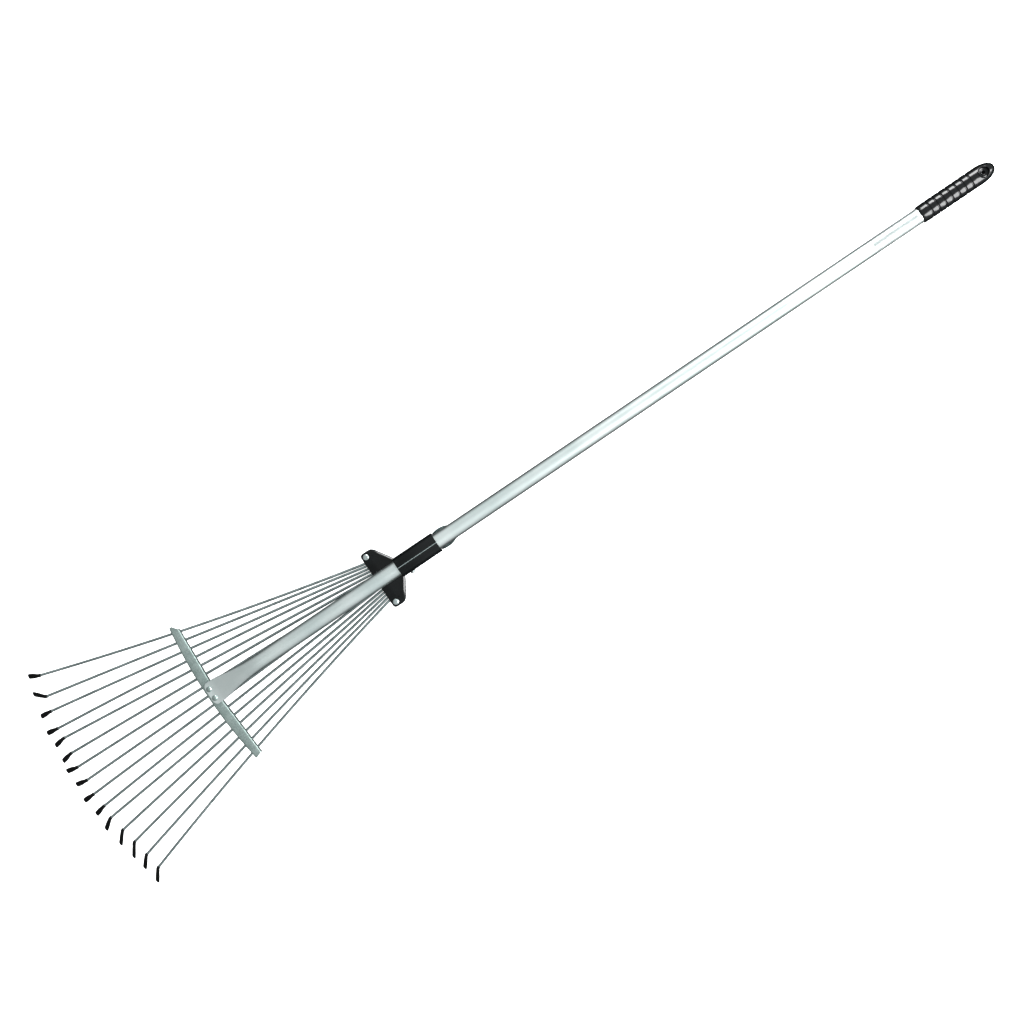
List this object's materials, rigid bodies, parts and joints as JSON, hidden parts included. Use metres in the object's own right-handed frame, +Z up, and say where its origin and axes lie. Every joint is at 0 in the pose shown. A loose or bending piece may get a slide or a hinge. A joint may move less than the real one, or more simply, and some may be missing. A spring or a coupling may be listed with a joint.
{
  "type": "leaf rake",
  "caption": "Leaf rake on a straight steel handle; a sliding clamped hub spreads or closes the fan of wire tines through a slotted cross bar.",
  "frame": {"origin": "on the ground under the middle of the whole rake as it lies on its tine tips and its grip", "axes": "+X along the handle towards the grip, +Y to the left seen from the grip, +Z up"},
  "size_m": [1.6762, 0.3746, 0.0563],
  "materials": {
    "handle_tube": "bright zinc plated steel tube, smooth and glossy",
    "grip": "moulded black vinyl, slightly glossy",
    "label": "blank pale film sticker",
    "galvanised_steel": "hot dip galvanised sheet with soft spangle",
    "tine_steel": "drawn and zinc plated spring wire",
    "tip_coating": "matt black dip coating",
    "hub_plastic": "moulded black nylon, satin",
    "pressed_steel": "bright zinc plated pressings and fasteners",
    "shoe": "plain turned brass"
  },
  "bodies": {
    "handle": {"handle_tube": "handle_tube", "end_grip": "grip", "blank_label": "label", "spreader_bar": "galvanised_steel", "bar_rivet_left": "galvanised_steel", "bar_rivet_right": "galvanised_steel"},
    "hub": {"hub_body": "hub_plastic", "hub_cover": "hub_plastic", "hub_screw_left": "pressed_steel", "hub_screw_right": "pressed_steel", "clamp_shoe": "shoe", "lever_bolt": "pressed_steel", "lever_nut": "pressed_steel", "tine_08": "tine_steel", "tip_coat_08": "tip_coating"},
    "lever": {"clamp_lever": "pressed_steel"},
    "tine_body_01": {"tine_01": "tine_steel", "tip_coat_01": "tip_coating"},
    "tine_body_02": {"tine_02": "tine_steel", "tip_coat_02": "tip_coating"},
    "tine_body_03": {"tine_03": "tine_steel", "tip_coat_03": "tip_coating"},
    "tine_body_04": {"tine_04": "tine_steel", "tip_coat_04": "tip_coating"},
    "tine_body_05": {"tine_05": "tine_steel", "tip_coat_05": "tip_coating"},
    "tine_body_06": {"tine_06": "tine_steel", "tip_coat_06": "tip_coating"},
    "tine_body_07": {"tine_07": "tine_steel", "tip_coat_07": "tip_coating"},
    "tine_body_09": {"tine_09": "tine_steel", "tip_coat_09": "tip_coating"},
    "tine_body_10": {"tine_10": "tine_steel", "tip_coat_10": "tip_coating"},
    "tine_body_11": {"tine_11": "tine_steel", "tip_coat_11": "tip_coating"},
    "tine_body_12": {"tine_12": "tine_steel", "tip_coat_12": "tip_coating"},
    "tine_body_13": {"tine_13": "tine_steel", "tip_coat_13": "tip_coating"},
    "tine_body_14": {"tine_14": "tine_steel", "tip_coat_14": "tip_coating"},
    "tine_body_15": {"tine_15": "tine_steel", "tip_coat_15": "tip_coating"}
  },
  "joints": [
    {"name": "hub_slide", "type": "slide", "parent": "handle", "child": "hub", "axis": [0.9997, 0, -0.0229], "range_m": [-0.09, 0.09]},
    {"name": "lever_hinge", "type": "hinge", "parent": "hub", "child": "lever", "pos_m": [-0.22554, 0.0055, 0.01831], "axis": [0, 1, 0], "range_deg": [0, 100]},
    {"name": "tine_01_hinge", "type": "hinge", "parent": "hub", "child": "tine_body_01", "pos_m": [-0.26748, 0.03609, 0.02167], "axis": [0.0229, 0, 0.9997], "range_deg": [-3.98, 3.98]},
    {"name": "tine_02_hinge", "type": "hinge", "parent": "hub", "child": "tine_body_02", "pos_m": [-0.26748, 0.03172, 0.02167], "axis": [0.0229, 0, 0.9997], "range_deg": [-3.44, 3.44]},
    {"name": "tine_03_hinge", "type": "hinge", "parent": "hub", "child": "tine_body_03", "pos_m": [-0.26748, 0.02735, 0.02167], "axis": [0.0229, 0, 0.9997], "range_deg": [-2.88, 2.88]},
    {"name": "tine_04_hinge", "type": "hinge", "parent": "hub", "child": "tine_body_04", "pos_m": [-0.26748, 0.02298, 0.02167], "axis": [0.0229, 0, 0.9997], "range_deg": [-2.32, 2.32]},
    {"name": "tine_05_hinge", "type": "hinge", "parent": "hub", "child": "tine_body_05", "pos_m": [-0.26748, 0.01861, 0.02167], "axis": [0.0229, 0, 0.9997], "range_deg": [-1.75, 1.75]},
    {"name": "tine_06_hinge", "type": "hinge", "parent": "hub", "child": "tine_body_06", "pos_m": [-0.26748, 0.01424, 0.02167], "axis": [0.0229, 0, 0.9997], "range_deg": [-1.18, 1.18]},
    {"name": "tine_07_hinge", "type": "hinge", "parent": "hub", "child": "tine_body_07", "pos_m": [-0.26748, 0.00987, 0.02167], "axis": [0.0229, 0, 0.9997], "range_deg": [-0.6, 0.6]},
    {"name": "tine_09_hinge", "type": "hinge", "parent": "hub", "child": "tine_body_09", "pos_m": [-0.26748, 0.00113, 0.02167], "axis": [0.0229, 0, 0.9997], "range_deg": [-0.6, 0.6]},
    {"name": "tine_10_hinge", "type": "hinge", "parent": "hub", "child": "tine_body_10", "pos_m": [-0.26748, -0.00324, 0.02167], "axis": [0.0229, 0, 0.9997], "range_deg": [-1.18, 1.18]},
    {"name": "tine_11_hinge", "type": "hinge", "parent": "hub", "child": "tine_body_11", "pos_m": [-0.26748, -0.00761, 0.02167], "axis": [0.0229, 0, 0.9997], "range_deg": [-1.75, 1.75]},
    {"name": "tine_12_hinge", "type": "hinge", "parent": "hub", "child": "tine_body_12", "pos_m": [-0.26748, -0.01198, 0.02167], "axis": [0.0229, 0, 0.9997], "range_deg": [-2.32, 2.32]},
    {"name": "tine_13_hinge", "type": "hinge", "parent": "hub", "child": "tine_body_13", "pos_m": [-0.26748, -0.01635, 0.02167], "axis": [0.0229, 0, 0.9997], "range_deg": [-2.88, 2.88]},
    {"name": "tine_14_hinge", "type": "hinge", "parent": "hub", "child": "tine_body_14", "pos_m": [-0.26748, -0.02072, 0.02167], "axis": [0.0229, 0, 0.9997], "range_deg": [-3.44, 3.44]},
    {"name": "tine_15_hinge", "type": "hinge", "parent": "hub", "child": "tine_body_15", "pos_m": [-0.26748, -0.02509, 0.02167], "axis": [0.0229, 0, 0.9997], "range_deg": [-3.98, 3.98]}
  ],
  "couplings": [
    {"joint": "tine_01_hinge", "follows": "hub_slide", "rad_per_m": 0.76652},
    {"joint": "tine_02_hinge", "follows": "hub_slide", "rad_per_m": 0.66157},
    {"joint": "tine_03_hinge", "follows": "hub_slide", "rad_per_m": 0.55433},
    {"joint": "tine_04_hinge", "follows": "hub_slide", "rad_per_m": 0.44524},
    {"joint": "tine_05_hinge", "follows": "hub_slide", "rad_per_m": 0.33478},
    {"joint": "tine_06_hinge", "follows": "hub_slide", "rad_per_m": 0.22343},
    {"joint": "tine_07_hinge", "follows": "hub_slide", "rad_per_m": 0.11167},
    {"joint": "tine_09_hinge", "follows": "hub_slide", "rad_per_m": -0.11167},
    {"joint": "tine_10_hinge", "follows": "hub_slide", "rad_per_m": -0.22343},
    {"joint": "tine_11_hinge", "follows": "hub_slide", "rad_per_m": -0.33478},
    {"joint": "tine_12_hinge", "follows": "hub_slide", "rad_per_m": -0.44524},
    {"joint": "tine_13_hinge", "follows": "hub_slide", "rad_per_m": -0.55433},
    {"joint": "tine_14_hinge", "follows": "hub_slide", "rad_per_m": -0.66157},
    {"joint": "tine_15_hinge", "follows": "hub_slide", "rad_per_m": -0.76652}
  ]
}
